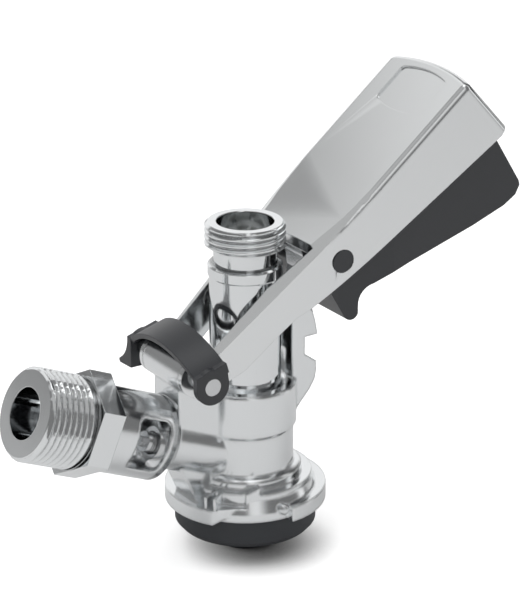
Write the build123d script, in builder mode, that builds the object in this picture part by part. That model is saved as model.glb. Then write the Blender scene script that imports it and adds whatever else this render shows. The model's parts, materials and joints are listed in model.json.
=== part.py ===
from build123d import *
import os
from math import cos, sin, radians, sqrt

# Keg coupler: a chrome body that locks on a keg neck, a probe pushed down by a lever,
# an inclined gas inlet with a relief valve, and a spring trigger inside the lever.
# Millimetres. +Z runs up the probe axis, +X towards the lever's grip, and the origin is
# on the probe axis at the bottom of the probe tip.

# ---- fits ----
slide_fit = 0.08        # radial gap of a sliding or turning fit
seat_gap = 0.3          # gap where a piece rests on a curved seat
side_gap = 0.3          # gap between faces that turn past each other

# ---- probe ----
outlet_thread_radius = 11.455
outlet_bore_radius = 7.95
probe_top = 96.4
thread_bottom = 89.4
neck_radius = 8.95
shoulder_radius = 10.6
shoulder_top = 84.4
shoulder_height = 3.4
probe_radius = 10.2
guide_bottom = 28.0
tail_radius = 7.2
tail_bore_radius = 4.2
tip_drop = 1.3          # how far the tip's bottom face lies below the body's datum
tip_height = 6.0
tip_radius = 9.5
tip_collar_radius = 8.0
tip_collar_height = 2.2
ball_radius = 5.5
ball_seat = 66.0
ball_travel = 5.0
retainer_height = 2.0

# ---- body casting ----
ring_radius = 14.7
ring_top = 48.9
ring_bottom = 36.0
waist_radius = 13.9
collar_radius = 16.2
collar_top = 23.6
base_radius = 19.3
base_top = 20.7
skirt_radius = 21.3
skirt_bottom = 13.2
guide_bore_bottom = 33.0
chamber_radius = 11.8
chamber_bottom = 20.0
oring_section = 0.9
oring_heights = (44.2, 37.6)
lug_radius = 23.4
lug_bottom = 12.6
lug_top = 17.0
lug_start = -87.4       # degrees, the blunt end of the first lug
lug_sweep = 121.4       # degrees that each lug runs round the base
ramp_rise = 5.9
ramp_end_angle = 157.0  # degrees from the blunt end to the end of the ramp

cut_back_start = -122.0
cut_back_end = 130.0
cut_back_wall = 1.2     # metal left outside the seal's hub
rib_angles = (-152.0, -145.0)
rib_thickness = 0.8
nub_angle = -92.0

# ---- keg seal ----
seal_radius = 20.5
seal_bottom = 4.7
seal_hub_radius = 17.0
seal_hub_top = 17.0
seal_bore_radius = 10.9

# ---- gas inlet ----
inlet_tilt = 22.8
inlet_height = 25.0
inlet_neck_radius = 8.3
boss_radius = 12.2
boss_start = 30.6
boss_end = 54.0
boss_rounding = 3.0
gas_bore_radius = 3.0
gas_bore_side = 3.4
socket_radius = 9.6
socket_bottom = 47.9
gasket_thickness = 1.0
hex_across_flats = 27.0
hex_end = 61.2
inlet_end = 76.7
inlet_thread_radius = 13.22
inlet_chamfer = 1.07
inlet_bore_radius = 7.3
inlet_step = 56.0
inlet_inner_bore_radius = 5.6
check_flange_thickness = 1.5
retainer_ring_thickness = 2.0

fairing_half_width = 5.6

# ---- relief valve ----
pocket_start = 36.0
pocket_end = 46.6
pocket_half_height = 7.4
pocket_floor = 1.6      # how far the pocket's floor lies from the inlet's middle plane
relief_side = 6.6
relief_radius = 4.7
relief_body_length = 2.4
relief_bore_radius = 2.9
relief_depth = 3.4
relief_stem_radius = 1.3
relief_head_radius = 3.0
relief_travel = 1.5

# ---- hinge ----
hinge_x = -22.5
hinge_z = 57.9
pin_radius = 2.5
barrel_radius = 5.7
barrel_half_width = 9.6
web_half_width = 6.5

# ---- lever ----
eye_radius = 5.7
cover_wall = 2.3
edge_rounding = 2.0
corner_rounding = 2.5
end_bow = 2.6
end_length = 20.6
end_lean = 86.3         # degrees between the grip and its end face
lip_length = 9.4
panel_centre = 56.0
panel_half_width = 10.4
panel_half_length = 6.0
panel_bow = 1.6
panel_corner = 1.6
panel_depth = 0.6
end_half_width = 18.4
inner_end_half_width = 16.4
arm_tip_half_width = 12.45
lever_travel = 25.0     # degrees from raised to latched
probe_travel = 11.6
trunnion_height = 73.1
trunnion_radius = 2.2
trunnion_end = 12.7
roller_radius = 2.9
slot_end = 13.2

# ---- latch tower ----
tower_half_width = 7.5
tower_inner = 11.2

# ---- trigger ----
pivot_x = 21.1
pivot_z = 85.6
pivot_radius = 3.3
trigger_half_width = 15.8
trigger_front_half_width = 14.0
trigger_wall = 2.2
hook_half_width = 4.5
trigger_wire_radius = 0.5

# ---- hinge clip ----
clip_outer = 18.9
clip_thickness = 2.0
clip_band_thickness = 1.6
clip_arc_radius = 26.7
clip_ear_radius = 5.2
clip_back = (-27.7, 61.4)
clip_front = (-18.2, 64.2)
tab_reach = 4.4
tab_bottom = 52.0
tab_length = 4.6


os.makedirs("parts", exist_ok=True)


def save(part, name):
    """Writes one piece, lifted so that the probe tip's bottom face is at zero."""
    lifted = part.moved(Location((0, 0, tip_drop)))
    lifted.label = name
    export_step(lifted, f"parts/{name}.step")


def inlet_plane(distance, side=0.0):
    """Plane across the inlet, facing out, with its Y axis up and its X axis towards -Y."""
    tilt = radians(inlet_tilt)
    return Plane(
        origin=(-distance * cos(tilt), -side, inlet_height + distance * sin(tilt)),
        x_dir=(0, -1, 0),
        z_dir=(-cos(tilt), 0, sin(tilt)),
    )


inlet_side = Plane(origin=inlet_plane(0).origin, x_dir=inlet_plane(0).z_dir, z_dir=(0, -1, 0))


def side_plane(offset=0.0):
    """Plane along the lever's side: X stays X, Y is up, and it faces -Y."""
    return Plane.XZ.offset(-offset)


guide_bore_radius = probe_radius + slide_fit

# ================= body =================
with BuildPart() as coupler_body:
    with BuildSketch(Plane.XZ):
        with BuildLine():
            Polyline(
                (0, skirt_bottom),
                (skirt_radius, skirt_bottom),
                (skirt_radius - 0.4, lug_bottom + 3),
                (base_radius, base_top - 1.5),
                (base_radius, base_top),
                (collar_radius, base_top),
                (collar_radius, collar_top - 0.6),
                (collar_radius - 0.6, collar_top),
                (waist_radius, collar_top + 0.6),
                (waist_radius, ring_bottom - 0.8),
                (ring_radius, ring_bottom + 0.4),
                (ring_radius, ring_top - 0.5),
                (ring_radius - 0.5, ring_top),
                (0, ring_top),
                close=True,
            )
        make_face()
    revolve(axis=Axis.Z)
    # bayonet lugs, each ending in a ramp that climbs along the base
    for turn in (0, 180):
        with BuildSketch(Plane.XY.offset(lug_bottom)):
            with BuildLine():
                inner = CenterArc((0, 0), collar_radius - 1, lug_start + turn, lug_sweep)
                outer = CenterArc((0, 0), lug_radius, lug_start + turn, lug_sweep)
                Line(inner @ 0, outer @ 0)
                Line(inner @ 1, outer @ 1)
            make_face()
        extrude(amount=lug_top - lug_bottom)
        corner_angle = radians(lug_start + turn + lug_sweep)
        crest_angle = radians(lug_start + turn + ramp_end_angle)
        corner = Vector(lug_radius * cos(corner_angle), lug_radius * sin(corner_angle), 0)
        crest = Vector(base_radius * cos(crest_angle), base_radius * sin(crest_angle), 0)
        along = crest - corner
        ramp_plane = Plane(origin=corner, x_dir=along, z_dir=along.cross(Vector(0, 0, 1)))
        with BuildSketch(ramp_plane):
            with BuildLine():
                Polyline(
                    (0, lug_bottom),
                    (along.length, lug_bottom + ramp_rise),
                    (along.length, lug_top + ramp_rise),
                    (0, lug_top),
                    close=True,
                )
            make_face()
        extrude(amount=-(lug_radius - collar_radius + 1))
    # the base is cut back under the inlet, where two thin ribs stand on the lug
    with BuildSketch(Plane.XY.offset(lug_top)):
        with BuildLine():
            near_cut = PolarLine((0, 0), lug_radius + 4, cut_back_start)
            far_cut = PolarLine((0, 0), lug_radius + 4, cut_back_end)
            ThreePointArc(near_cut @ 1, (-lug_radius - 4, 0), far_cut @ 1)
        make_face()
        Circle(seal_hub_radius + cut_back_wall, mode=Mode.SUBTRACT)
    extrude(amount=base_top - lug_top + 0.5, mode=Mode.SUBTRACT)
    for angle in rib_angles:
        with BuildSketch(Plane.XY.offset(lug_top - 0.5)):
            with Locations(Rotation(0, 0, angle)):
                with Locations(((seal_hub_radius + lug_radius) / 2, 0)):
                    Rectangle(lug_radius - seal_hub_radius - 0.8, rib_thickness)
        extrude(amount=base_top - lug_top + 0.5)
    # stop nub beside the blunt end of the near lug
    with Locations((skirt_radius * cos(radians(nub_angle)), skirt_radius * sin(radians(nub_angle)), 16.3)):
        Sphere(1.7)
    # hinge barrel and the web that carries it
    with BuildSketch(side_plane()):
        with BuildLine():
            Polyline(
                (hinge_x - 3.6, hinge_z - 3.5),
                (hinge_x - 3.6, ring_bottom + 3),
                (0, ring_bottom - 6),
                (0, ring_top - 1),
                (hinge_x + 8.5, ring_top - 1),
                (hinge_x + 4.5, hinge_z - 3.2),
                close=True,
            )
        make_face()
    extrude(amount=web_half_width, both=True)
    with BuildSketch(side_plane()):
        with Locations((hinge_x, hinge_z)):
            Circle(barrel_radius)
    extrude(amount=barrel_half_width, both=True)
    # latch tower with its two teeth
    with BuildSketch(side_plane()):
        with BuildLine():
            Polyline(
                (waist_radius - 2.5, 37.0),
                (13.6, 40.2),
                (17.2, 44.2),
                (18.9, 47.0),
                (19.4, 49.8),
                (19.25, 52.6),
                (15.4, 55.4),
                (15.4, 60.6),
                (19.7, 60.7),
                (18.9, 65.0),
                (17.4, 70.0),
                (15.6, 73.3),
                (tower_inner, 73.3),
                (tower_inner, 37.0),
                close=True,
            )
        make_face()
    extrude(amount=tower_half_width, both=True)
    # gas branch
    with BuildSketch(inlet_side):
        with BuildLine():
            neck = Line((0, inlet_neck_radius), (boss_start - 1.0, inlet_neck_radius))
            blend = TangentArc(neck @ 1, (boss_start, inlet_neck_radius + 1.0), tangent=neck % 1)
            rise = Line(blend @ 1, (boss_start, boss_radius - boss_rounding))
            shoulder = TangentArc(rise @ 1, (boss_start + boss_rounding, boss_radius), tangent=rise % 1)
            Polyline(shoulder @ 1, (boss_end, boss_radius), (boss_end, 0), (0, 0), neck @ 0)
        make_face()
    revolve(axis=Axis(inlet_side.origin, inlet_side.x_dir))
    # fairing between the underside of the inlet and the flange
    with BuildSketch(side_plane()):
        with BuildLine():
            Polyline(
                (-skirt_radius + 1.6, lug_top - 0.5),
                (-skirt_radius - 4.0, inlet_height + 4.5),
                (-waist_radius + 1.0, inlet_height + 4.5),
                (-waist_radius + 1.0, lug_top - 0.5),
                close=True,
            )
        make_face()
    extrude(amount=fairing_half_width, both=True)
    # inside: guide bore with its funnel, gas chamber, seal seat
    with BuildSketch(Plane.XZ):
        with BuildLine():
            Polyline(
                (0, skirt_bottom - 1),
                (seal_hub_radius + 0.2, skirt_bottom - 1),
                (seal_hub_radius + 0.2, seal_hub_top),
                (chamber_radius, seal_hub_top),
                (chamber_radius, guide_bore_bottom - 1.5),
                (guide_bore_radius, guide_bore_bottom),
                (guide_bore_radius, ring_top - 1.3),
                (guide_bore_radius + 1.6, ring_top),
                (guide_bore_radius + 1.6, ring_top + 8),
                (0, ring_top + 8),
                close=True,
            )
        make_face()
    revolve(axis=Axis.Z, mode=Mode.SUBTRACT)
    with BuildSketch(Plane.XY.offset(skirt_bottom - 2)):
        Circle(seal_radius + seat_gap)
    extrude(amount=2, mode=Mode.SUBTRACT)
    for height in oring_heights:
        with BuildSketch(Plane.XY.offset(height - oring_section - 0.1)):
            Circle(probe_radius + 2 * oring_section + 0.1)
        extrude(amount=2 * oring_section + 0.2, mode=Mode.SUBTRACT)
    # pin bore
    with BuildSketch(side_plane()):
        with Locations((hinge_x, hinge_z)):
            Circle(pin_radius + slide_fit)
    extrude(amount=barrel_half_width + 1, both=True, mode=Mode.SUBTRACT)
    # gas way, socket for the inlet piece, relief pocket
    with BuildSketch(inlet_plane(waist_radius - 5, -gas_bore_side)):
        Circle(gas_bore_radius)
    extrude(amount=boss_end - waist_radius, mode=Mode.SUBTRACT)
    with BuildSketch(inlet_plane(socket_bottom)):
        Circle(socket_radius)
    extrude(amount=boss_end, mode=Mode.SUBTRACT)
    with BuildSketch(inlet_side.offset(pocket_floor)):
        with Locations(((pocket_start + pocket_end) / 2, 0)):
            RectangleRounded(pocket_end - pocket_start, 2 * pocket_half_height, 2.0)
    extrude(amount=boss_radius, mode=Mode.SUBTRACT)
    with BuildSketch(inlet_plane(pocket_start - relief_depth, relief_side)):
        Circle(relief_bore_radius)
    extrude(amount=relief_depth + 1, mode=Mode.SUBTRACT)
save(coupler_body.part, "coupler_body")

for number, height in enumerate(oring_heights, start=1):
    with BuildPart() as body_oring:
        with BuildSketch(Plane.XZ):
            with Locations((probe_radius + 0.04 + oring_section, height)):
                Circle(oring_section)
        revolve(axis=Axis.Z)
    save(body_oring.part, f"body_oring_{number}")

with BuildPart() as keg_seal:
    with BuildSketch(Plane.XZ):
        with BuildLine():
            Polyline(
                (seal_bore_radius, seal_bottom + 0.8),
                (seal_bore_radius + 0.8, seal_bottom),
                (seal_radius - 1.2, seal_bottom),
                (seal_radius, seal_bottom + 1.4),
                (seal_radius, skirt_bottom),
                (seal_hub_radius, skirt_bottom),
                (seal_hub_radius, seal_hub_top),
                (seal_bore_radius, seal_hub_top),
                close=True,
            )
        make_face()
    revolve(axis=Axis.Z)
save(keg_seal.part, "keg_seal")

# ================= gas inlet =================
spigot_start = socket_bottom + gasket_thickness

with BuildPart() as gas_inlet_adapter:
    with BuildSketch(inlet_plane(spigot_start)):
        Circle(socket_radius - 0.1)
    extrude(amount=boss_end - spigot_start)
    with BuildSketch(inlet_plane(boss_end)):
        RegularPolygon(hex_across_flats / 2, 6, major_radius=False, rotation=30)
    extrude(amount=hex_end - boss_end)
    with BuildSketch(inlet_plane(hex_end)):
        Circle(inlet_thread_radius)
    extrude(amount=inlet_end - inlet_chamfer - hex_end)
    with BuildSketch(inlet_plane(inlet_end - inlet_chamfer)):
        Circle(inlet_thread_radius)
    with BuildSketch(inlet_plane(inlet_end)):
        Circle(inlet_thread_radius - inlet_chamfer)
    loft()
    with BuildSketch(inlet_plane(inlet_step)):
        Circle(inlet_bore_radius)
    extrude(amount=inlet_end - inlet_step, mode=Mode.SUBTRACT)
    with BuildSketch(inlet_plane(spigot_start)):
        Circle(inlet_inner_bore_radius)
    extrude(amount=inlet_step - spigot_start, mode=Mode.SUBTRACT)
save(gas_inlet_adapter.part, "gas_inlet_adapter")

with BuildPart() as inlet_gasket:
    with BuildSketch(inlet_plane(socket_bottom)):
        Circle(socket_radius - 0.2)
        Circle(gas_bore_side + gas_bore_radius + 0.3, mode=Mode.SUBTRACT)
    extrude(amount=gasket_thickness)
save(inlet_gasket.part, "inlet_gasket")

with BuildPart() as gas_check_valve:
    with BuildSketch(inlet_plane(inlet_step)):
        Circle(inlet_bore_radius - 0.2)
    extrude(amount=check_flange_thickness)
    with BuildSketch(inlet_plane(inlet_step)):
        Circle(inlet_inner_bore_radius - 0.4)
    with BuildSketch(inlet_plane(spigot_start + 1.5)):
        Rectangle(0.9 * inlet_inner_bore_radius, 1.6)
    loft()
    with BuildSketch(inlet_plane(inlet_step - 3.0)):
        Circle(2.2)
    with BuildSketch(inlet_plane(inlet_step + check_flange_thickness)):
        Circle(4.0)
    loft(mode=Mode.SUBTRACT)
save(gas_check_valve.part, "gas_check_valve")

with BuildPart() as check_valve_retainer:
    with BuildSketch(inlet_plane(inlet_step + check_flange_thickness)):
        Circle(inlet_bore_radius - 0.1)
        Circle(inlet_bore_radius - 2.6, mode=Mode.SUBTRACT)
    extrude(amount=retainer_ring_thickness)
save(check_valve_retainer.part, "check_valve_retainer")

# ================= relief valve =================
with BuildPart() as relief_valve_body:
    with BuildSketch(inlet_plane(pocket_start, relief_side)):
        Circle(relief_radius)
    extrude(amount=relief_body_length)
    with BuildSketch(inlet_plane(pocket_start, relief_side)):
        Circle(relief_bore_radius - 0.1)
    extrude(amount=-(relief_depth - 0.2))
    with BuildSketch(inlet_plane(pocket_start - relief_depth + 1.0, relief_side)):
        Circle(relief_bore_radius - 0.9)
    extrude(amount=relief_depth + relief_body_length, mode=Mode.SUBTRACT)
    with BuildSketch(inlet_plane(pocket_start + 0.6, relief_side)):
        Circle(relief_radius - 1.4)
    extrude(amount=relief_body_length, mode=Mode.SUBTRACT)
save(relief_valve_body.part, "relief_valve_body")

spring_room = relief_travel + 1.6
head_start = pocket_start + 0.6 + spring_room
with BuildPart() as relief_stem:
    with BuildSketch(inlet_plane(pocket_start - relief_depth + 1.0 + relief_travel + 0.2, relief_side)):
        Circle(relief_stem_radius)
    extrude(amount=spring_room + relief_depth - relief_travel - 0.6)
    with BuildSketch(inlet_plane(head_start, relief_side)):
        Circle(relief_head_radius)
    extrude(amount=1.4)
    with BuildSketch(inlet_plane(head_start + 1.4, relief_side)):
        RegularPolygon(1.5, 6)
    extrude(amount=1.4)
save(relief_stem.part, "relief_stem")

spring_wire_radius = 0.25
spring_turns = 3.5
spring_plane = inlet_plane(pocket_start + 0.6 + spring_wire_radius + 0.05, relief_side)
spring_height = spring_room - 2 * spring_wire_radius - 0.1
with BuildPart() as relief_spring:
    with BuildLine():
        coil = Helix(
            pitch=spring_height / spring_turns,
            height=spring_height,
            radius=relief_radius - 2.05,
            center=spring_plane.origin,
            direction=spring_plane.z_dir,
        )
    with BuildSketch(Plane(origin=coil @ 0, z_dir=coil % 0)):
        Circle(spring_wire_radius)
    sweep(path=coil)
save(relief_spring.part, "relief_spring")

# ================= hinge =================
with BuildPart() as hinge_pin:
    with BuildSketch(side_plane()):
        with Locations((hinge_x, hinge_z)):
            Circle(pin_radius)
    extrude(amount=clip_outer, both=True)
save(hinge_pin.part, "hinge_pin")


def arm_outer(x):
    """Half width over the arms where they run straight, from the hinge to the pivot."""
    slope = (16.9 - arm_tip_half_width) / (14.0 + 18.5)
    return arm_tip_half_width + slope * (x + 18.5)


spacer_start = arm_outer(hinge_x + eye_radius) + side_gap
spacer_end = clip_outer - clip_thickness - 1.5 * side_gap
spacer_wall = 0.45
for name, direction in (("near", -1), ("far", 1)):
    with BuildPart() as hinge_spacer:
        with BuildSketch(side_plane(direction * spacer_start)):
            with Locations((hinge_x, hinge_z)):
                Circle(pin_radius + spacer_wall)
                Circle(pin_radius + slide_fit, mode=Mode.SUBTRACT)
        extrude(amount=-direction * (spacer_end - spacer_start))
    save(hinge_spacer.part, f"hinge_spacer_{name}")

# ================= probe =================
tip_face = -tip_drop
with BuildPart() as probe_tube:
    with BuildSketch(Plane.XZ):
        with BuildLine():
            Polyline(
                (tail_bore_radius, tip_face + 0.6),
                (tip_collar_radius, tip_face + 0.6),
                (tip_collar_radius, tip_face + tip_collar_height),
                (tail_radius, tip_face + tip_collar_height),
                (tail_radius, guide_bottom - 3.0),
                (probe_radius - 0.6, guide_bottom),
                (probe_radius, guide_bottom + 0.6),
                (probe_radius, shoulder_top - shoulder_height - 0.4),
                (shoulder_radius, shoulder_top - shoulder_height),
                (shoulder_radius, shoulder_top - 0.6),
                (shoulder_radius - 0.6, shoulder_top),
                (neck_radius, shoulder_top),
                (neck_radius, thread_bottom),
                (outlet_thread_radius, thread_bottom),
                (outlet_thread_radius, probe_top - 0.9),
                (outlet_thread_radius - 0.9, probe_top),
                (outlet_bore_radius + 0.3, probe_top),
                (outlet_bore_radius, probe_top - 0.3),
                (outlet_bore_radius, ball_seat),
                (tail_bore_radius, ball_seat),
                close=True,
            )
        make_face()
    revolve(axis=Axis.Z)
    # blind holes for the trunnion pins
    for direction in (-1, 1):
        with BuildSketch(side_plane(direction * (probe_radius - 1.4))):
            with Locations((0, trunnion_height)):
                Circle(trunnion_radius + 0.02)
        extrude(amount=-direction * 4.0, mode=Mode.SUBTRACT)
save(probe_tube.part, "probe_tube")

with BuildPart() as probe_tip_seal:
    with BuildSketch(Plane.XZ):
        with BuildLine():
            Polyline(
                (tail_bore_radius + 0.2, tip_face),
                (tip_radius - 1.0, tip_face),
                (tip_radius, tip_face + 1.0),
                (tip_radius, tip_face + tip_height - 1.6),
                (tip_radius - 1.2, tip_face + tip_height),
                (tail_radius + 0.05, tip_face + tip_height),
                (tail_radius + 0.05, tip_face + tip_collar_height + 0.05),
                (tip_collar_radius + 0.05, tip_face + tip_collar_height + 0.05),
                (tip_collar_radius + 0.05, tip_face + 0.55),
                (tail_bore_radius + 0.2, tip_face + 0.55),
                close=True,
            )
        make_face()
    revolve(axis=Axis.Z)
save(probe_tip_seal.part, "probe_tip_seal")

for name, direction in (("near", -1), ("far", 1)):
    with BuildPart() as trunnion_pin:
        with BuildSketch(side_plane(direction * (probe_radius - 1.4))):
            with Locations((0, trunnion_height)):
                Circle(trunnion_radius)
        extrude(amount=-direction * (trunnion_end - probe_radius + 1.4))
    save(trunnion_pin.part, f"trunnion_pin_{name}")
    with BuildPart() as trunnion_roller:
        with BuildSketch(side_plane(direction * (trunnion_end - 1.1))):
            with Locations((0, trunnion_height)):
                Circle(roller_radius)
                Circle(trunnion_radius + 0.05, mode=Mode.SUBTRACT)
        extrude(amount=-direction * 1.1)
    save(trunnion_roller.part, f"trunnion_roller_{name}")

ball_rest = ball_seat + sqrt(ball_radius**2 - tail_bore_radius**2) + seat_gap
with BuildPart() as check_ball:
    with Locations((0, 0, ball_rest)):
        Sphere(ball_radius)
save(check_ball.part, "check_ball")

retainer_bottom = ball_rest + ball_radius + ball_travel + 0.2
with BuildPart() as ball_retainer:
    with BuildSketch(Plane.XY.offset(retainer_bottom)):
        Circle(outlet_bore_radius - 0.05)
        Circle(ball_radius, mode=Mode.SUBTRACT)
        Rectangle(2 * ball_radius + 1.0, 1.6)
    extrude(amount=retainer_height)
save(ball_retainer.part, "ball_retainer")

# ================= lever =================
lever_top_start = Vector(-17.2, 68.0)
lever_top_bend = Vector(22.0, 97.4)
lever_top_end = Vector(64.5, 132.3)
arm_slope = (lever_top_bend.Y - lever_top_start.Y) / (lever_top_bend.X - lever_top_start.X)
grip_rise = lever_top_end - lever_top_bend
grip_slope = grip_rise.Y / grip_rise.X
end_across = grip_rise.normalized().rotate(Axis.Z, -end_lean)
lever_end_bottom = lever_top_end + end_across * end_length


def lever_top(x, drop=0.0):
    """Height of the cover's upper face above x."""
    slope = arm_slope if x < lever_top_bend.X else grip_slope
    return lever_top_bend.Y + slope * (x - lever_top_bend.X) - drop


def cam_point(share):
    """Trunnion's place on the lever when the lever has made this share of its swing."""
    swing = radians(lever_travel * share)
    across = -hinge_x
    up = trunnion_height - probe_travel * share - hinge_z
    return (
        hinge_x + across * cos(swing) - up * sin(swing),
        hinge_z + across * sin(swing) + up * cos(swing),
    )


with BuildPart() as lever_handle:
    with BuildSketch(side_plane()):
        with BuildLine():
            Polyline(
                (hinge_x - 1.0, hinge_z + eye_radius - 0.1),
                (-18.8, hinge_z + 4.6),
                lever_top_start,
                lever_top_bend,
                lever_top_end,
                lever_end_bottom,
                lever_end_bottom - Vector(3.4, 4.2),
                (18.5, 77.4),
                (11.7, 73.2),
                (7.0, 71.0),
                (2.2, 67.3),
                (-8.9, 57.9),
                (hinge_x + 3.0, hinge_z - eye_radius + 0.9),
                (hinge_x, hinge_z),
                close=True,
            )
        make_face()
        with Locations((hinge_x, hinge_z)):
            Circle(eye_radius)
    extrude(amount=30, both=True)
    # width in plan: straight arms that diverge, then the parallel grip
    with BuildSketch(Plane.XY.offset(30)):
        with BuildLine():
            start = (-30.0, arm_outer(-30.0))
            arm = Line(start, (14.0, arm_outer(14.0)))
            flare = TangentArc(arm @ 1, (34.0, end_half_width), tangent=arm % 1)
            grip = Line(flare @ 1, (90.0, end_half_width))
            Line(grip @ 1, (90.0, 0))
            Line((90.0, 0), (-30.0, 0))
            Line((-30.0, 0), start)
        make_face()
        mirror(about=Plane.XZ)
    extrude(amount=120, mode=Mode.INTERSECT)
    # bowed end
    end_plane = Plane(
        origin=(lever_top_end.X, 0, lever_top_end.Y),
        x_dir=(0, 1, 0),
        z_dir=(end_across.X, 0, end_across.Y),
    )
    with BuildSketch(end_plane.offset(-20)):
        with BuildLine():
            bow = ThreePointArc((-end_half_width, -end_bow), (0, 0.0), (end_half_width, -end_bow))
            Polyline(bow @ 1, (end_half_width, -120), (-end_half_width, -120), bow @ 0)
        make_face()
    extrude(amount=120, mode=Mode.INTERSECT)
    # rounded end corners, then the long edges and the end's upper edge
    end_corners = lever_handle.edges().filter_by(
        lambda edge: edge.geom_type == GeomType.LINE
        and (edge @ 0.5).X > lever_top_end.X
        and abs((edge @ 0.5).Y) > end_half_width - 0.2
        and abs((edge @ 0).X - (edge @ 1).X) > end_length / 2
    )
    fillet(end_corners, radius=corner_rounding)
    cover_edges = (
        lever_handle.faces()
        .filter_by(GeomType.PLANE)
        .filter_by(lambda face: face.normal_at().Z > 0.5 and face.area > 300)
        .edges()
        .filter_by(lambda edge: abs(edge.center().Y) > 3 or edge.center().X > lever_top_bend.X + 10)
    )
    fillet(cover_edges, radius=edge_rounding)
    # the arms' upper faces slope outwards, less and less towards the grip
    for direction in (-1, 1):
        slope_start = Vector(33.0, direction * 17.0, lever_top(33.0) + 0.1)
        slope_inner = Vector(-0.2, direction * 9.8, lever_top(-0.2))
        slope_outer = Vector(-0.2, direction * 13.6, lever_top(-0.2) - 2.2)
        across = slope_inner - slope_outer
        slope_normal = (slope_start - slope_outer).cross(across)
        if slope_normal.Z < 0:
            slope_normal = -slope_normal
        with BuildSketch(Plane(origin=slope_start, x_dir=slope_start - slope_outer, z_dir=slope_normal)):
            Rectangle(140, 24)
        extrude(amount=12, mode=Mode.SUBTRACT)
    # bare shallow panel near the end of the cover
    panel_plane = Plane(
        origin=(panel_centre, 0, lever_top(panel_centre)),
        x_dir=(0, -1, 0),
        z_dir=(-grip_slope, 0, 1),
    )
    with BuildSketch(panel_plane):
        with BuildLine():
            upper = ThreePointArc(
                (-panel_half_width, panel_half_length), (0, panel_half_length + panel_bow), (panel_half_width, panel_half_length)
            )
            lower = ThreePointArc(
                (-panel_half_width, -panel_half_length), (0, -panel_half_length - panel_bow), (panel_half_width, -panel_half_length)
            )
            Line(upper @ 0, lower @ 0)
            Line(upper @ 1, lower @ 1)
        panel_outline = make_face()
        fillet(panel_outline.vertices(), radius=panel_corner)
    extrude(amount=-panel_depth, mode=Mode.SUBTRACT)
    # hollow: open below, and open above in front of the cover's edge
    cover_edge = 13.0
    cover_under = cover_wall * sqrt(1 + grip_slope**2)
    lip_top = lever_top_end.X - end_bow - 2.0
    lip_bottom = lever_top_end + end_across * lip_length
    grip_along = grip_rise.normalized()
    with BuildSketch(side_plane()):
        with BuildLine():
            Polyline(
                (-40, 40),
                (-40, 140),
                (cover_edge, 140),
                (cover_edge, lever_top(cover_edge, cover_under)),
                (lever_top_bend.X, lever_top(lever_top_bend.X, cover_under)),
                (lip_top, lever_top(lip_top, cover_under)),
                lip_bottom - grip_along * (end_bow + 2.0),
                lip_bottom + grip_along * 6.0,
                (95, 100),
                (60, 40),
                close=True,
            )
        make_face()
    hollow_side = extrude(amount=30, both=True, mode=Mode.PRIVATE)
    with BuildSketch(Plane.XY.offset(30), mode=Mode.PRIVATE) as hollow_plan:
        with BuildLine():
            start = (-40.0, 8.9)
            throat = Line(start, (0.0, 11.5))
            spread = Line(throat @ 1, (14.0, 14.6))
            inner_flare = Line(spread @ 1, (34.0, inner_end_half_width))
            inner_grip = Line(inner_flare @ 1, (99.0, inner_end_half_width))
            Line(inner_grip @ 1, (99.0, 0))
            Line((99.0, 0), (-40.0, 0))
            Line((-40.0, 0), start)
        make_face()
        mirror(about=Plane.XZ)
    hollow_top = extrude(hollow_plan.sketch, amount=120, mode=Mode.PRIVATE)
    add(hollow_side & hollow_top, mode=Mode.SUBTRACT)
    # holes for the hinge pin and the trigger's pivot
    with BuildSketch(side_plane()):
        with Locations((hinge_x, hinge_z)):
            Circle(pin_radius + slide_fit)
        with Locations((pivot_x, pivot_z)):
            Circle(pivot_radius + slide_fit)
    extrude(amount=30, both=True, mode=Mode.SUBTRACT)
    # cam slots, cut from inside, that push the probe down as the lever swings
    slot_path = [cam_point(share) for share in (0.0, 0.5, 1.0)]
    for direction in (-1, 1):
        with BuildSketch(side_plane(direction * 8.0)):
            with BuildLine(mode=Mode.PRIVATE) as cam_line:
                ThreePointArc(*slot_path)
            SlotArc(cam_line.edges()[0], 2 * (roller_radius + 0.25))
        extrude(amount=-direction * (slot_end - 8.0), mode=Mode.SUBTRACT)
save(lever_handle.part, "lever_handle")

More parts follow.
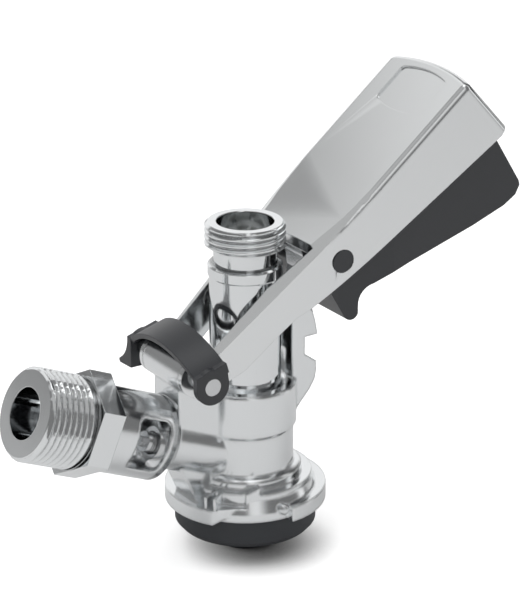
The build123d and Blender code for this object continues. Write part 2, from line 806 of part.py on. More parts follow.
# ================= trigger =================
with BuildPart() as trigger_grip:
    with BuildSketch(side_plane()):
        with BuildLine():
            front = Polyline(
                (17.6, 90.0),
                (17.6, 80.0),
                (18.9, 76.5),
                (24.4, 66.9),
            )
            toe = ThreePointArc(front @ 1, (26.2, 65.8), (28.6, 67.4))
            curl = Line(toe @ 1, (28.6, 70.0))
            finger_stop = TangentArc(curl @ 1, (33.5, 75.6), tangent=curl % 1)
            Polyline(
                finger_stop @ 1,
                (45.4, 79.8),
                (68.0, 86.7),
                (79.0, 90.7),
                (83.2, 93.3),
                (84.6, 96.0),
                (84.2, 97.5),
                (75.5, 111.0),
                (70.0, 109.4),
                (30.0, 95.0),
                (17.6, 90.0),
            )
        make_face()
    extrude(amount=30, both=True)
    with BuildSketch(Plane.XY.offset(50)):
        with BuildLine():
            Polyline(
                (10.0, 0),
                (10.0, trigger_front_half_width),
                (22.0, trigger_front_half_width),
                (40.0, trigger_half_width),
                (90.0, trigger_half_width),
                (90.0, 0),
                close=True,
            )
        make_face()
        mirror(about=Plane.XZ)
    extrude(amount=80, mode=Mode.INTERSECT)
    # open from above, so that it closes over the pivot spring
    with BuildSketch(side_plane()):
        with BuildLine():
            Polyline(
                (17.6 + trigger_wall, 120.0),
                (17.6 + trigger_wall, 80.5),
                (26.3, 70.4),
                (28.0, 76.0),
                (44.6, 82.3),
                (67.2, 89.2),
                (78.0, 93.2),
                (81.0, 95.6),
                (71.8, 109.9),
                (71.8, 120.0),
                close=True,
            )
        make_face()
    extrude(amount=trigger_front_half_width - trigger_wall, both=True, mode=Mode.SUBTRACT)
    # room for the spring coil, slot for the hook, and the pivot bore
    with BuildSketch(side_plane()):
        with Locations((pivot_x, pivot_z)):
            Circle(pivot_radius + 2 * trigger_wire_radius + 0.8)
    extrude(amount=trigger_front_half_width - trigger_wall, both=True, mode=Mode.SUBTRACT)
    with BuildSketch(side_plane()):
        with Locations((pivot_x - 3.0, pivot_z - 3.0)):
            Rectangle(9.0, 16.0)
    extrude(amount=hook_half_width + side_gap, both=True, mode=Mode.SUBTRACT)
    with BuildSketch(side_plane()):
        with Locations((pivot_x, pivot_z)):
            Circle(pivot_radius + 0.05)
    extrude(amount=30, both=True, mode=Mode.SUBTRACT)
save(trigger_grip.part, "trigger_grip")

with BuildPart() as trigger_pivot_pin:
    with BuildSketch(side_plane()):
        with Locations((pivot_x, pivot_z)):
            Circle(pivot_radius)
    extrude(amount=17.75, both=True)
save(trigger_pivot_pin.part, "trigger_pivot_pin")

with BuildPart() as trigger_hook:
    with BuildSketch(side_plane()):
        with Locations((pivot_x, pivot_z)):
            Circle(pivot_radius + 1.7)
        with BuildLine():
            Polyline(
                (pivot_x - 4.9, pivot_z),
                (17.1, 79.0),
                (16.45, 75.1),
                (19.4, 74.0),
                (21.2, 76.5),
                (pivot_x + 3.6, pivot_z - 3.4),
                close=True,
            )
        make_face()
        with Locations((pivot_x, pivot_z)):
            Circle(pivot_radius + 0.05, mode=Mode.SUBTRACT)
    extrude(amount=hook_half_width, both=True)
save(trigger_hook.part, "trigger_hook")

trigger_spring_turns = 4
trigger_spring_pitch = 1.3
with BuildPart() as trigger_spring:
    with BuildLine():
        pivot_coil = Helix(
            pitch=trigger_spring_pitch,
            height=trigger_spring_pitch * trigger_spring_turns,
            radius=pivot_radius + trigger_wire_radius + 0.3,
            center=(pivot_x, hook_half_width + trigger_wire_radius + 0.8, pivot_z),
            direction=(0, 1, 0),
        )
    with BuildSketch(Plane(origin=pivot_coil @ 0, z_dir=pivot_coil % 0)):
        Circle(trigger_wire_radius)
    sweep(path=pivot_coil)
save(trigger_spring.part, "trigger_spring")

# ================= hinge clip =================
clip_direction = Vector(clip_front[0] - clip_back[0], 0, clip_front[1] - clip_back[1])
clip_plane = Plane(
    origin=(clip_back[0], 0, clip_back[1]),
    x_dir=(0, 1, 0),
    z_dir=clip_direction,
)
clip_inner = clip_outer - clip_thickness
arc_foot = 17.0
arc_rise = clip_arc_radius - sqrt(clip_arc_radius**2 - arc_foot**2)
inner_arc_radius = clip_arc_radius - clip_band_thickness
inner_arc_foot = arc_rise - clip_arc_radius + sqrt(inner_arc_radius**2 - clip_inner**2)
with BuildPart() as hinge_clip:
    with BuildSketch(clip_plane):
        with BuildLine():
            over = ThreePointArc((-arc_foot, 0), (0, arc_rise), (arc_foot, 0))
            under = ThreePointArc(
                (-clip_inner, inner_arc_foot),
                (0, arc_rise - clip_band_thickness),
                (clip_inner, inner_arc_foot),
            )
            Polyline(over @ 1, (clip_outer, 0), (clip_outer, -3.0), (clip_inner, -3.0), under @ 1)
            Polyline(over @ 0, (-clip_outer, 0), (-clip_outer, -3.0), (-clip_inner, -3.0), under @ 0)
        make_face()
    extrude(amount=clip_direction.length)
    for direction in (-1, 1):
        with BuildSketch(side_plane(direction * clip_inner)):
            with BuildLine():
                Polyline(
                    clip_back,
                    clip_front,
                    (hinge_x + clip_ear_radius, hinge_z),
                    (hinge_x - clip_ear_radius, hinge_z),
                    close=True,
                )
            make_face()
            with Locations((hinge_x, hinge_z)):
                Circle(clip_ear_radius)
        extrude(amount=-direction * clip_thickness)
    # thumb tab that flares from the far ear
    with BuildSketch(Plane.YZ.offset(clip_back[0])):
        with BuildLine():
            flare = ThreePointArc(
                (clip_outer, clip_back[1] - 0.2),
                (clip_outer + 0.9, hinge_z - 1.0),
                (clip_outer + tab_reach, tab_bottom + 1.4),
            )
            tip = ThreePointArc(
                flare @ 1, (clip_outer + tab_reach + 0.3, tab_bottom + 0.5), (clip_outer + tab_reach - 0.8, tab_bottom)
            )
            Polyline(tip @ 1, (clip_outer - clip_thickness, tab_bottom + 0.3), (clip_outer - clip_thickness, clip_back[1] - 0.2), flare @ 0)
        make_face()
    extrude(amount=tab_length)
    with BuildSketch(side_plane()):
        with Locations((hinge_x, hinge_z)):
            Circle(pin_radius + slide_fit)
    extrude(amount=clip_outer + 1, both=True, mode=Mode.SUBTRACT)
save(hinge_clip.part, "hinge_clip")
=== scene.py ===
import json
import math
import bpy
from mathutils import Matrix, Vector


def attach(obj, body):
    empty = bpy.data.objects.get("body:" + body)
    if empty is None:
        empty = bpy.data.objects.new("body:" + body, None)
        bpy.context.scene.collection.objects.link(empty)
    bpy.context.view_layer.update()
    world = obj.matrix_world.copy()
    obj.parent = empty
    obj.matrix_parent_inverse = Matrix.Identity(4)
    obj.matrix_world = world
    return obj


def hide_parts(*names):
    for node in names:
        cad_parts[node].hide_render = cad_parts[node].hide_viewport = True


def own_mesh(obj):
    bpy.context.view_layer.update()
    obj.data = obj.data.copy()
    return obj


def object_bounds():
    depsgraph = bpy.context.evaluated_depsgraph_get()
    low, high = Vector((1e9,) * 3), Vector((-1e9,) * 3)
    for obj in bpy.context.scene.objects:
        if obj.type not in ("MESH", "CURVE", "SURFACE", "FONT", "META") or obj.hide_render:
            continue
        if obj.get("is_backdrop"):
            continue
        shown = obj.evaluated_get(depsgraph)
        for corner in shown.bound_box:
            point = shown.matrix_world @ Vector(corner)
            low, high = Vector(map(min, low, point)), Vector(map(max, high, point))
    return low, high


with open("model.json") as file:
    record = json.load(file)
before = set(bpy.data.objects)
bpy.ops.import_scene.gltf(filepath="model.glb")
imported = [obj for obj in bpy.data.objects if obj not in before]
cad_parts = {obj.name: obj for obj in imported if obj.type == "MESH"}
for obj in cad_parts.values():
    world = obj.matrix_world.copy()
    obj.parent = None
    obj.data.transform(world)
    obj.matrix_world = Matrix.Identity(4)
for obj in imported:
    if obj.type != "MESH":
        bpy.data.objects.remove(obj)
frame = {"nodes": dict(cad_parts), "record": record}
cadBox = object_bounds()


def plain(value):  # vectors become lists that json can write
    return [plain(v) for v in value] if hasattr(value, "__len__") else float(value)


# camera: from the lever's near side, a little above
viewPoint = {
    "place": (-0.3420, -0.5311, 0.3197),
    "elevation": 22.16,
    "azimuth": -32.78,
    "lens": 144.4,
    "sensor": 36,
    "reach": 20,
    "shiftX": 0.0247,
    "shiftY": 0.0634,
}
cameraData = bpy.data.cameras.new("camera")
cameraData.lens = viewPoint["lens"]
cameraData.sensor_width = viewPoint["sensor"]
cameraData.shift_x = viewPoint["shiftX"]
cameraData.shift_y = viewPoint["shiftY"]
cameraData.clip_end = viewPoint["reach"]
camera = bpy.data.objects.new("camera", cameraData)
camera.location = viewPoint["place"]
camera.rotation_euler = (
    math.radians(90 - viewPoint["elevation"]),
    0,
    math.radians(viewPoint["azimuth"]),
)
bpy.context.collection.objects.link(camera)
bpy.context.scene.camera = camera
bpy.context.scene.view_settings.view_transform = "Standard"
print("camera set")


# shader node groups shared by the finishes
textures = {
    "hazeDetail": 3,
    "lineDetail": 4,
    "pitDetail": 2,
    "cloudScale": 90,
    "edgeSamples": 4,
}


def newGroup(name, inputs, outputs):
    group = bpy.data.node_groups.new(name, "ShaderNodeTree")
    for socketName, socketType, default in inputs:
        socket = group.interface.new_socket(socketName, in_out="INPUT", socket_type=socketType)
        socket.default_value = default
    for socketName, socketType in outputs:
        group.interface.new_socket(socketName, in_out="OUTPUT", socket_type=socketType)
    return group, group.nodes.new("NodeGroupInput"), group.nodes.new("NodeGroupOutput")


def polishGroup():  # slow waves and haze that a plated casting keeps after polishing
    group, source, result = newGroup(
        "polish haze",
        [
            ("Low", "NodeSocketFloat", 0.04),
            ("High", "NodeSocketFloat", 0.1),
            ("Size", "NodeSocketFloat", 60.0),
        ],
        [("Roughness", "NodeSocketFloat"), ("Height", "NodeSocketFloat")],
    )
    place = group.nodes.new("ShaderNodeTexCoord")
    haze = group.nodes.new("ShaderNodeTexNoise")
    haze.inputs["Detail"].default_value = textures["hazeDetail"]
    spread = group.nodes.new("ShaderNodeMapRange")
    link = group.links.new
    link(place.outputs["Object"], haze.inputs["Vector"])
    link(source.outputs["Size"], haze.inputs["Scale"])
    link(haze.outputs["Fac"], spread.inputs["Value"])
    link(source.outputs["Low"], spread.inputs["To Min"])
    link(source.outputs["High"], spread.inputs["To Max"])
    link(spread.outputs["Result"], result.inputs["Roughness"])
    link(haze.outputs["Fac"], result.inputs["Height"])
    return group


def brushedGroup():  # fine parallel lines along one direction
    group, source, result = newGroup(
        "brushed lines",
        [
            ("Stretch", "NodeSocketVector", (1.0, 1.0, 1.0)),
            ("Low", "NodeSocketFloat", 0.2),
            ("High", "NodeSocketFloat", 0.32),
        ],
        [("Roughness", "NodeSocketFloat"), ("Height", "NodeSocketFloat")],
    )
    place = group.nodes.new("ShaderNodeTexCoord")
    stretch = group.nodes.new("ShaderNodeVectorMath")
    stretch.operation = "MULTIPLY"
    lines = group.nodes.new("ShaderNodeTexNoise")
    lines.inputs["Scale"].default_value = 1
    lines.inputs["Detail"].default_value = textures["lineDetail"]
    spread = group.nodes.new("ShaderNodeMapRange")
    link = group.links.new
    link(place.outputs["Object"], stretch.inputs[0])
    link(source.outputs["Stretch"], stretch.inputs[1])
    link(stretch.outputs["Vector"], lines.inputs["Vector"])
    link(lines.outputs["Fac"], spread.inputs["Value"])
    link(source.outputs["Low"], spread.inputs["To Min"])
    link(source.outputs["High"], spread.inputs["To Max"])
    link(spread.outputs["Result"], result.inputs["Roughness"])
    link(lines.outputs["Fac"], result.inputs["Height"])
    return group


def grainGroup():  # moulded grain: small pits with a soft cloudy tone
    group, source, result = newGroup(
        "moulded grain",
        [
            ("Dark", "NodeSocketColor", (0.04, 0.04, 0.05, 1)),
            ("Light", "NodeSocketColor", (0.06, 0.06, 0.07, 1)),
            ("Grain", "NodeSocketFloat", 2500.0),
            ("Low", "NodeSocketFloat", 0.4),
            ("High", "NodeSocketFloat", 0.55),
        ],
        [("Color", "NodeSocketColor"), ("Roughness", "NodeSocketFloat"), ("Height", "NodeSocketFloat")],
    )
    place = group.nodes.new("ShaderNodeTexCoord")
    cloud = group.nodes.new("ShaderNodeTexNoise")
    cloud.inputs["Scale"].default_value = textures["cloudScale"]
    pits = group.nodes.new("ShaderNodeTexNoise")
    pits.inputs["Detail"].default_value = textures["pitDetail"]
    tone = group.nodes.new("ShaderNodeMix")
    tone.data_type = "RGBA"
    spread = group.nodes.new("ShaderNodeMapRange")
    link = group.links.new
    link(place.outputs["Object"], cloud.inputs["Vector"])
    link(place.outputs["Object"], pits.inputs["Vector"])
    link(source.outputs["Grain"], pits.inputs["Scale"])
    link(cloud.outputs["Fac"], tone.inputs["Factor"])
    link(source.outputs["Dark"], tone.inputs["A"])
    link(source.outputs["Light"], tone.inputs["B"])
    link(cloud.outputs["Fac"], spread.inputs["Value"])
    link(source.outputs["Low"], spread.inputs["To Min"])
    link(source.outputs["High"], spread.inputs["To Max"])
    link(tone.outputs["Result"], result.inputs["Color"])
    link(spread.outputs["Result"], result.inputs["Roughness"])
    link(pits.outputs["Fac"], result.inputs["Height"])
    return group


def softEdgeGroup():  # rounded edges and a mask of where they are
    group, source, result = newGroup(
        "soft edges",
        [
            ("Low", "NodeSocketFloat", 0.01),
            ("High", "NodeSocketFloat", 0.25),
            ("Radius", "NodeSocketFloat", 0.00035),
        ],
        [("Normal", "NodeSocketVector"), ("Mask", "NodeSocketFloat")],
    )
    rounded = group.nodes.new("ShaderNodeBevel")
    rounded.samples = textures["edgeSamples"]
    surface = group.nodes.new("ShaderNodeNewGeometry")
    facing = group.nodes.new("ShaderNodeVectorMath")
    facing.operation = "DOT_PRODUCT"
    turned = group.nodes.new("ShaderNodeMath")
    turned.operation = "SUBTRACT"
    turned.inputs[0].default_value = 1
    mask = group.nodes.new("ShaderNodeMapRange")
    link = group.links.new
    link(rounded.outputs["Normal"], facing.inputs[0])
    link(surface.outputs["True Normal"], facing.inputs[1])
    link(facing.outputs["Value"], turned.inputs[1])
    link(turned.outputs["Value"], mask.inputs["Value"])
    link(source.outputs["Radius"], rounded.inputs["Radius"])
    link(source.outputs["Low"], mask.inputs["From Min"])
    link(source.outputs["High"], mask.inputs["From Max"])
    link(rounded.outputs["Normal"], result.inputs["Normal"])
    link(mask.outputs["Result"], result.inputs["Mask"])
    return group


polish = polishGroup()
brushed = brushedGroup()
grain = grainGroup()
softEdge = softEdgeGroup()


def newFinish(name, group, values):  # a material with one effect group and the soft edges in it
    material = bpy.data.materials.new(name)
    material.use_nodes = True
    nodes = material.node_tree.nodes
    effect = nodes.new("ShaderNodeGroup")
    effect.node_tree = group
    for socketName, value in values.items():
        effect.inputs[socketName].default_value = value
    edge = nodes.new("ShaderNodeGroup")
    edge.node_tree = softEdge
    return material, nodes, effect, edge


def addRelief(material, effect, edge, bump, bumpDepth):
    nodes = material.node_tree.nodes
    link = material.node_tree.links.new
    shader = nodes["Principled BSDF"]
    relief = nodes.new("ShaderNodeBump")
    relief.inputs["Strength"].default_value = bump
    relief.inputs["Distance"].default_value = bumpDepth
    link(effect.outputs["Height"], relief.inputs["Height"])
    link(edge.outputs["Normal"], relief.inputs["Normal"])
    link(relief.outputs["Normal"], shader.inputs["Normal"])
    link(effect.outputs["Roughness"], shader.inputs["Roughness"])


boreShade = {  # painted shade: the chrome's colour is darkened where ambient occlusion finds a bore, standing in for the shade deep inside it
    "samples": 6,
    "distance": 0.012,
    "deepest": 0.30,
    "open": 0.62,
}


# painted shade: multiplies a colour darker towards the bottom of bores and recesses, by ambient occlusion
def paintedBoreShade(nodes, link, colour, boreShadeLevel):
    opening = nodes.new("ShaderNodeAmbientOcclusion")
    opening.samples = boreShade["samples"]
    opening.only_local = True
    opening.inputs["Distance"].default_value = boreShade["distance"]
    depth = nodes.new("ShaderNodeMapRange")
    depth.inputs["From Min"].default_value = boreShade["deepest"]
    depth.inputs["From Max"].default_value = boreShade["open"]
    depth.inputs["To Min"].default_value = boreShadeLevel
    paintedShade = nodes.new("ShaderNodeMix")
    paintedShade.data_type = "RGBA"
    paintedShade.blend_type = "MULTIPLY"
    paintedShade.inputs["Factor"].default_value = 1.0
    link(opening.outputs["AO"], depth.inputs["Value"])
    link(colour, paintedShade.inputs["A"])
    link(depth.outputs["Result"], paintedShade.inputs["B"])
    return paintedShade.outputs["Result"]


edgeShine = 1.08  # how much lighter a metal's edges are worn


def metalFinish(name, group, values, colour, bump, bumpDepth, soft=0.00035, boreShadeLevel=1.0):
    material, nodes, effect, edge = newFinish(name, group, values)
    link = material.node_tree.links.new
    shader = nodes["Principled BSDF"]
    shader.inputs["Metallic"].default_value = 1
    edge.inputs["Radius"].default_value = soft
    worn = nodes.new("ShaderNodeMix")
    worn.data_type = "RGBA"
    worn.inputs["A"].default_value = (*colour, 1)
    worn.inputs["B"].default_value = (*[min(1.0, tone * edgeShine) for tone in colour], 1)
    link(edge.outputs["Mask"], worn.inputs["Factor"])
    tone = worn.outputs["Result"]
    # painted shade inside the bores, for metals whose level is below 1
    if boreShadeLevel < 1:
        tone = paintedBoreShade(nodes, link, tone, boreShadeLevel)
    link(tone, shader.inputs["Base Color"])
    addRelief(material, effect, edge, bump, bumpDepth)
    return material


def mouldedFinish(name, values, bump, bumpDepth, gloss):
    material, nodes, effect, edge = newFinish(name, grain, values)
    shader = nodes["Principled BSDF"]
    shader.inputs["Specular IOR Level"].default_value = gloss
    material.node_tree.links.new(effect.outputs["Color"], shader.inputs["Base Color"])
    addRelief(material, effect, edge, bump, bumpDepth)
    return material


metals = {
    "chrome": {
        "name": "chrome plate", "group": polish, "values": {"Low": 0.05, "High": 0.11, "Size": 70.0},
        # the last value sets how dark the painted shade inside the bores gets
        "colour": (0.855, 0.872, 0.882), "bump": 0.05, "bumpDepth": 0.0004, "boreShadeLevel": 0.12,
    },
    "satinChrome": {
        "name": "satin chrome", "group": brushed,
        "values": {"Stretch": (90.0, 2600.0, 90.0), "Low": 0.13, "High": 0.19},
        "colour": (0.855, 0.87, 0.877), "bump": 0.05, "bumpDepth": 0.00002,
    },
    "castChrome": {
        "name": "plated casting", "group": polish, "values": {"Low": 0.13, "High": 0.2, "Size": 60.0},
        "colour": (0.855, 0.872, 0.882), "bump": 0.12, "bumpDepth": 0.0006, "soft": 0.0012,
    },
    "steel": {
        "name": "turned steel", "group": brushed,
        "values": {"Stretch": (900.0, 60.0, 900.0), "Low": 0.18, "High": 0.3},
        "colour": (0.68, 0.69, 0.70), "bump": 0.1, "bumpDepth": 0.00004,
    },
}
mouldings = {
    "bearing": {
        "name": "natural acetal",
        "values": {"Dark": (0.72, 0.72, 0.70, 1), "Light": (0.80, 0.80, 0.78, 1)},
        "bump": 0.05, "bumpDepth": 0.00003, "gloss": 0.5,
    },
    "rubber": {
        "name": "black rubber",
        "values": {
            "Dark": (0.034, 0.037, 0.042, 1), "Light": (0.046, 0.049, 0.054, 1), "Low": 0.5, "High": 0.62,
        },
        "bump": 0.12, "bumpDepth": 0.00004, "gloss": 0.4,
    },
    "plastic": {
        "name": "dark plastic",
        "values": {
            "Dark": (0.016, 0.018, 0.022, 1), "Light": (0.022, 0.024, 0.029, 1), "Low": 0.32, "High": 0.42,
        },
        "bump": 0.15, "bumpDepth": 0.00005, "gloss": 0.75,
    },
}
finishes = {key: metalFinish(**values) for key, values in metals.items()}
finishes.update({key: mouldedFinish(**values) for key, values in mouldings.items()})
slotFinish = {
    "chrome": "chrome",
    "steel": "steel",
    "bearing_plastic": "bearing",
    "rubber": "rubber",
    "black_plastic": "plastic",
}
ownFinish = {  # nodes whose finish differs from their slot's
    "lever_handle": "satinChrome",
    "coupler_body": "castChrome",
}
for part in frame["record"]["subparts"]:
    finish = ownFinish.get(part["node"], slotFinish[part["material_slot"]])
    for slot in frame["nodes"][part["node"]].material_slots:
        slot.material = finishes[finish]
print("finishes set")


mergeDistance = 0.000002


def selectOnly(piece):
    bpy.ops.object.select_all(action="DESELECT")
    piece.select_set(True)
    bpy.context.view_layer.objects.active = piece


def copyNode(nodeName, name):  # a copy of a CAD node whose loose triangles are joined
    source = frame["nodes"][nodeName]
    piece = source.copy()
    piece.data = source.data.copy()
    piece.name = name
    bpy.context.collection.objects.link(piece)
    selectOnly(piece)
    bpy.ops.object.mode_set(mode="EDIT")
    bpy.ops.mesh.select_all(action="SELECT")
    bpy.ops.mesh.remove_doubles(threshold=mergeDistance)
    bpy.ops.object.mode_set(mode="OBJECT")
    return piece


def applyModifiers(piece):
    selectOnly(piece)
    for modifier in list(piece.modifiers):
        bpy.ops.object.modifier_apply(modifier=modifier.name)


turnSteps = 72
turnMerge = 0.000001


def turnedCutter(name, profile, pitch, turns):  # profile of (radius, height), turned about Z
    bpy.ops.object.select_all(action="DESELECT")
    bpy.ops.mesh.primitive_circle_add(vertices=len(profile))
    cutter = bpy.context.object
    cutter.name = name
    for vertex, (radius, height) in zip(cutter.data.vertices, profile):
        vertex.co = (radius, 0, height)
    screw = cutter.modifiers.new("turn", "SCREW")
    screw.screw_offset = pitch
    screw.iterations = turns
    screw.steps = turnSteps
    screw.render_steps = turnSteps
    screw.use_merge_vertices = pitch == 0
    screw.merge_threshold = turnMerge
    applyModifiers(cutter)
    bpy.ops.object.mode_set(mode="EDIT")
    bpy.ops.mesh.select_all(action="SELECT")
    bpy.ops.mesh.fill_holes(sides=len(profile))
    bpy.ops.mesh.select_all(action="SELECT")
    bpy.ops.mesh.normals_make_consistent(inside=False)
    bpy.ops.object.mode_set(mode="OBJECT")
    return cutter


def cutAway(piece, cutter, place, axis):
    turned = Vector(axis).to_track_quat("Z", "Y").to_matrix().to_4x4()
    cutter.matrix_world = Matrix.Translation(place) @ turned
    bpy.context.view_layer.update()
    cut = piece.modifiers.new("cut", "BOOLEAN")
    cut.operation = "DIFFERENCE"
    cut.solver = "EXACT"
    cut.object = cutter
    applyModifiers(piece)
    bpy.data.objects.remove(cutter)


flatAngle = 0.3  # faces nearer to flat than this are joined
largeFaceWeight = 80


def evenShading(piece, sharpAngle):  # flat faces joined, and normals led by the large faces
    selectOnly(piece)
    bpy.ops.object.mode_set(mode="EDIT")
    bpy.ops.mesh.select_all(action="SELECT")
    bpy.ops.mesh.remove_doubles(threshold=mergeDistance)
    bpy.ops.mesh.dissolve_limited(angle_limit=math.radians(flatAngle))
    bpy.ops.object.mode_set(mode="OBJECT")
    bpy.ops.object.shade_smooth_by_angle(angle=math.radians(sharpAngle))
    even = piece.modifiers.new("even", "WEIGHTED_NORMAL")
    even.keep_sharp = True
    even.weight = largeFaceWeight
    applyModifiers(piece)


# the lever's cover gets one smooth face over its slight bend
cover = {
    "node": "lever_handle",
    "name": "smooth_lever",
    "sharpAngle": 24,
}
leverCover = copyNode(cover["node"], cover["name"])
evenShading(leverCover, cover["sharpAngle"])
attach(leverCover, "lever")
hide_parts("lever_handle")
print("lever cover smoothed")

# threads cut in copies of the plain pieces
mounts = {mount["name"]: mount for mount in frame["record"]["mounts"]}
threads = {
    "beer_outlet": {
        "node": "probe_tube",
        "name": "threaded_probe_tube",
        "body": "probe",
        "depth": 0.00085,
        "halfWidth": 0.00066,
        "start": -0.0049,
        "turns": 5,
    },
    "gas_inlet": {
        "node": "gas_inlet_adapter",
        "name": "threaded_inlet_adapter",
        "body": "body",
        "depth": 0.0008,
        "halfWidth": 0.00068,
        "start": -0.0064,
        "turns": 9,
        "relief": (-0.0071, -0.0060, 0.0009),  # low end, high end and depth of the groove at the hexagon
    },
}
threadCut = {
    "pitch": 0.001814,
    "rootHalfWidth": 0.0001,
    "pastCrest": 0.00008,  # how far a cutter stands out past the crest
    "reliefPastCrest": 0.001,
    "sharpAngle": 28,
}
for mountName, thread in threads.items():
    mount = mounts[mountName]
    crest = mount["dims"]["r_mm"] / 1000
    root = crest - thread["depth"]
    top = crest + threadCut["pastCrest"]
    widen = thread["halfWidth"] * (thread["depth"] + threadCut["pastCrest"]) / thread["depth"]
    groove = [
        (top, thread["start"] - widen),
        (top, thread["start"] + widen),
        (root, thread["start"] + threadCut["rootHalfWidth"]),
        (root, thread["start"] - threadCut["rootHalfWidth"]),
    ]
    piece = copyNode(thread["node"], thread["name"])
    cutter = turnedCutter("groove", groove, threadCut["pitch"], thread["turns"])
    cutAway(piece, cutter, mount["pos_m"], mount["axis"])
    if "relief" in thread:
        low, high, depth = thread["relief"]
        outside = crest + threadCut["reliefPastCrest"]
        ring = [(outside, low), (outside, high), (crest - depth, high), (crest - depth, low)]
        cutAway(piece, turnedCutter("relief", ring, 0, 1), mount["pos_m"], mount["axis"])
    evenShading(piece, threadCut["sharpAngle"])
    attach(piece, thread["body"])
    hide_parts(thread["node"])
    print(thread["name"], len(piece.data.polygons))

# a smooth-shaded copy of the relief spring, carried by the body
closing = {
    "node": "relief_spring",
    "name": "closing_relief_spring",
    "joint": "relief_push",
}
reliefSpring = copyNode(closing["node"], closing["name"])
reliefSpring.data.polygons.foreach_set("use_smooth", [True] * len(reliefSpring.data.polygons))
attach(reliefSpring, "body")
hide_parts("relief_spring")
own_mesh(reliefSpring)
print("relief spring ready")

# floor, light and surroundings
floorShape = {
    "size": 6,
    "gap": 0.0002,
    "tone": 0.86,
    "seenTone": 1.0,  # where the camera looks at it
    "lift": 0.55,  # glow that the camera sees, so that it runs into the white backdrop
    "roughness": 0.8,
}
shadow = {
    "lean": (-0.05, 0.62, 0.78),  # towards the light, so that the shadow falls away from it
    "reach": 0.031,  # how far from the floor a surface still darkens it
    "full": 0.12,
    "none": 0.66,
    "samples": 32,
}
bpy.ops.object.select_all(action="DESELECT")
bpy.ops.mesh.primitive_plane_add(size=floorShape["size"], location=(0, 0, cadBox[0][2] - floorShape["gap"]))
floor = bpy.context.object
floor.name = "floor"
floor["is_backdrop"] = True
floorPaint = bpy.data.materials.new("studio floor")
floorPaint.use_nodes = True
floorNodes = floorPaint.node_tree.nodes
floorLink = floorPaint.node_tree.links.new
floorShader = floorNodes["Principled BSDF"]
floorShader.inputs["Roughness"].default_value = floorShape["roughness"]
seen = floorNodes.new("ShaderNodeLightPath")
floorMix = floorNodes.new("ShaderNodeMix")
floorMix.data_type = "RGBA"
floorMix.inputs["A"].default_value = (*[floorShape["tone"]] * 3, 1)
floorMix.inputs["B"].default_value = (*[floorShape["seenTone"]] * 3, 1)
lift = floorNodes.new("ShaderNodeMath")
lift.operation = "MULTIPLY"
lift.inputs[1].default_value = floorShape["lift"]
lean = floorNodes.new("ShaderNodeCombineXYZ")
for axis, part in zip("XYZ", shadow["lean"]):
    lean.inputs[axis].default_value = part
shade = floorNodes.new("ShaderNodeAmbientOcclusion")
shade.samples = shadow["samples"]
shade.inputs["Distance"].default_value = shadow["reach"]
shadeCurve = floorNodes.new("ShaderNodeMapRange")
shadeCurve.inputs["From Min"].default_value = shadow["full"]
shadeCurve.inputs["From Max"].default_value = shadow["none"]
shadeTone = floorNodes.new("ShaderNodeMix")
shadeTone.data_type = "RGBA"
shadeTone.blend_type = "MULTIPLY"
shadeTone.inputs["Factor"].default_value = 1.0
floorLink(lean.outputs["Vector"], shade.inputs["Normal"])
floorLink(shade.outputs["AO"], shadeCurve.inputs["Value"])
floorLink(seen.outputs["Is Camera Ray"], floorMix.inputs["Factor"])
floorLink(floorMix.outputs["Result"], shadeTone.inputs["A"])
floorLink(shadeCurve.outputs["Result"], shadeTone.inputs["B"])
floorLink(shadeTone.outputs["Result"], floorShader.inputs["Base Color"])
floorLink(shadeTone.outputs["Result"], floorShader.inputs["Emission Color"])
floorLink(seen.outputs["Is Camera Ray"], lift.inputs[0])
floorLink(lift.outputs["Value"], floorShader.inputs["Emission Strength"])
floor.data.materials.append(floorPaint)

world = bpy.data.worlds.new("studio")
bpy.context.scene.world = world
world.use_nodes = True
worldNodes = world.node_tree.nodes
worldLink = world.node_tree.links.new
background = worldNodes["Background"]
rays = worldNodes.new("ShaderNodeLightPath")
around = worldNodes.new("ShaderNodeTexCoord")
split = worldNodes.new("ShaderNodeSeparateXYZ")
turn = worldNodes.new("ShaderNodeMath")
turn.operation = "ARCTAN2"
worldLink(around.outputs["Generated"], split.inputs["Vector"])
worldLink(split.outputs["Y"], turn.inputs[0])
worldLink(split.outputs["X"], turn.inputs[1])


def spread(source, low, high):  # 0 at low, 1 at high
    node = worldNodes.new("ShaderNodeMapRange")
    node.inputs["From Min"].default_value = low
    node.inputs["From Max"].default_value = high
    worldLink(source, node.inputs["Value"])
    return node.outputs["Result"]


def blendTone(factor, first, second):
    node = worldNodes.new("ShaderNodeMix")
    node.data_type = "RGBA"
    worldLink(factor, node.inputs["Factor"])
    for name, tone in (("A", first), ("B", second)):
        if isinstance(tone, float):
            node.inputs[name].default_value = (tone, tone, tone, 1)
        else:
            worldLink(tone, node.inputs[name])
    return node.outputs["Result"]


def product(first, second):
    node = worldNodes.new("ShaderNodeMath")
    node.operation = "MULTIPLY"
    worldLink(first, node.inputs[0])
    worldLink(second, node.inputs[1])
    return node.outputs["Value"]


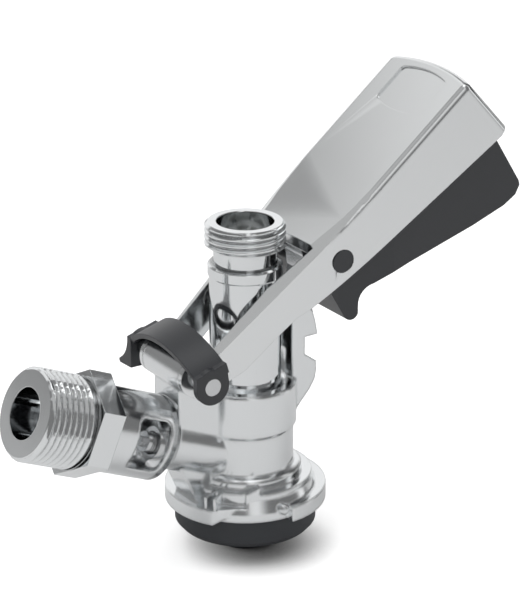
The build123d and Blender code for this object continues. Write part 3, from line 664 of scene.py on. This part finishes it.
# what a mirror shows: cards all round by the direction in degrees, and cards higher up for some faces
cardStops = [
    (-180, 0.20), (-119, 0.20), (-115, 0.74), (-101, 0.80), (-85, 0.18), (-30, 0.17), (-24, 0.95),
    (-15, 0.95), (-11, 0.03), (8, 0.04), (14, 0.17), (24, 0.20), (30, 0.95), (98, 0.92), (102, 0.76),
    (106, 0.42), (112, 0.24), (140, 0.24), (152, 0.18), (180, 0.20),
]
highCards = {  # ends and soft edge in degrees, and the height as a sine where the card starts and is full
    "threadTop": {"ends": (20, 66), "edge": 10, "height": (0.52, 0.60), "tone": 0.18},
    "leverTop": {"ends": (90, 110), "edge": 8, "height": (0.42, 0.48)},
    "armTop": {"left": (-0.26, -0.42), "height": (0.66, 0.74), "tone": 0.48},
}
leverGradient = {"height": (0.574, 0.622), "tones": (0.32, 0.83)}
surroundings = {
    "horizon": 0.70,
    "horizonHeight": (-0.06, 0.04),
    "zenith": 1.5,  # straight above, the sheen on dark plastic
    "zenithHeight": (0.94, 0.98),
    "ambient": 0.42,
    "backdrop": 1.0,
}
cardRamp = worldNodes.new("ShaderNodeValToRGB")
marks = cardRamp.color_ramp.elements
while len(marks) < len(cardStops):
    marks.new(0.5)
for mark, (angle, tone) in zip(marks, cardStops):
    mark.position = (angle + 180) / 360
    mark.color = (tone, tone, tone, 1)
direction = turn.outputs["Value"]
height = split.outputs["Z"]
worldLink(spread(direction, -math.pi, math.pi), cardRamp.inputs["Fac"])


def window(card):  # 1 between two directions, above a height
    start, end = [math.radians(angle) for angle in card["ends"]]
    edge = math.radians(card["edge"])
    factor = product(spread(height, *card["height"]), spread(direction, start - edge, start))
    return product(factor, spread(direction, end + edge, end))


armCard = highCards["armTop"]
armFactor = product(spread(height, *armCard["height"]), spread(split.outputs["X"], *armCard["left"]))
leverTone = blendTone(spread(height, *leverGradient["height"]), *leverGradient["tones"])
sideTone = cardRamp.outputs["Color"]
sideTone = blendTone(window(highCards["threadTop"]), sideTone, highCards["threadTop"]["tone"])
sideTone = blendTone(window(highCards["leverTop"]), sideTone, leverTone)
sideTone = blendTone(armFactor, sideTone, armCard["tone"])
sideTone = blendTone(spread(height, *surroundings["horizonHeight"]), surroundings["horizon"], sideTone)
mirrorTone = blendTone(spread(height, *surroundings["zenithHeight"]), sideTone, surroundings["zenith"])
plainTone = blendTone(rays.outputs["Is Camera Ray"], surroundings["ambient"], surroundings["backdrop"])
worldTone = blendTone(rays.outputs["Is Glossy Ray"], plainTone, mirrorTone)
worldLink(worldTone, background.inputs["Color"])

lampAim = Vector((0, 0, 0.06))
lamps = {
    "top": {"place": (-0.15, 0.15, 1.2), "size": 0.9, "power": 5.0},
    "key": {"place": (-0.8, -0.5, 0.9), "size": 0.8, "power": 2.2},
    "fill": {"place": (0.9, -0.7, 0.6), "size": 0.8, "power": 1.2},
}
for name, values in lamps.items():
    lampData = bpy.data.lights.new(name, "AREA")
    lampData.size = values["size"]
    lampData.energy = values["power"]
    lamp = bpy.data.objects.new(name, lampData)
    lamp.location = values["place"]
    lamp.rotation_euler = (lampAim - lamp.location).to_track_quat("-Z", "Y").to_euler()
    lamp.visible_glossy = False  # mirrors show the cards, not the lamps
    bpy.context.collection.objects.link(lamp)
print("studio lit")

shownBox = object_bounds()
{"cad": plain(cadBox), "shown": plain(shownBox)}
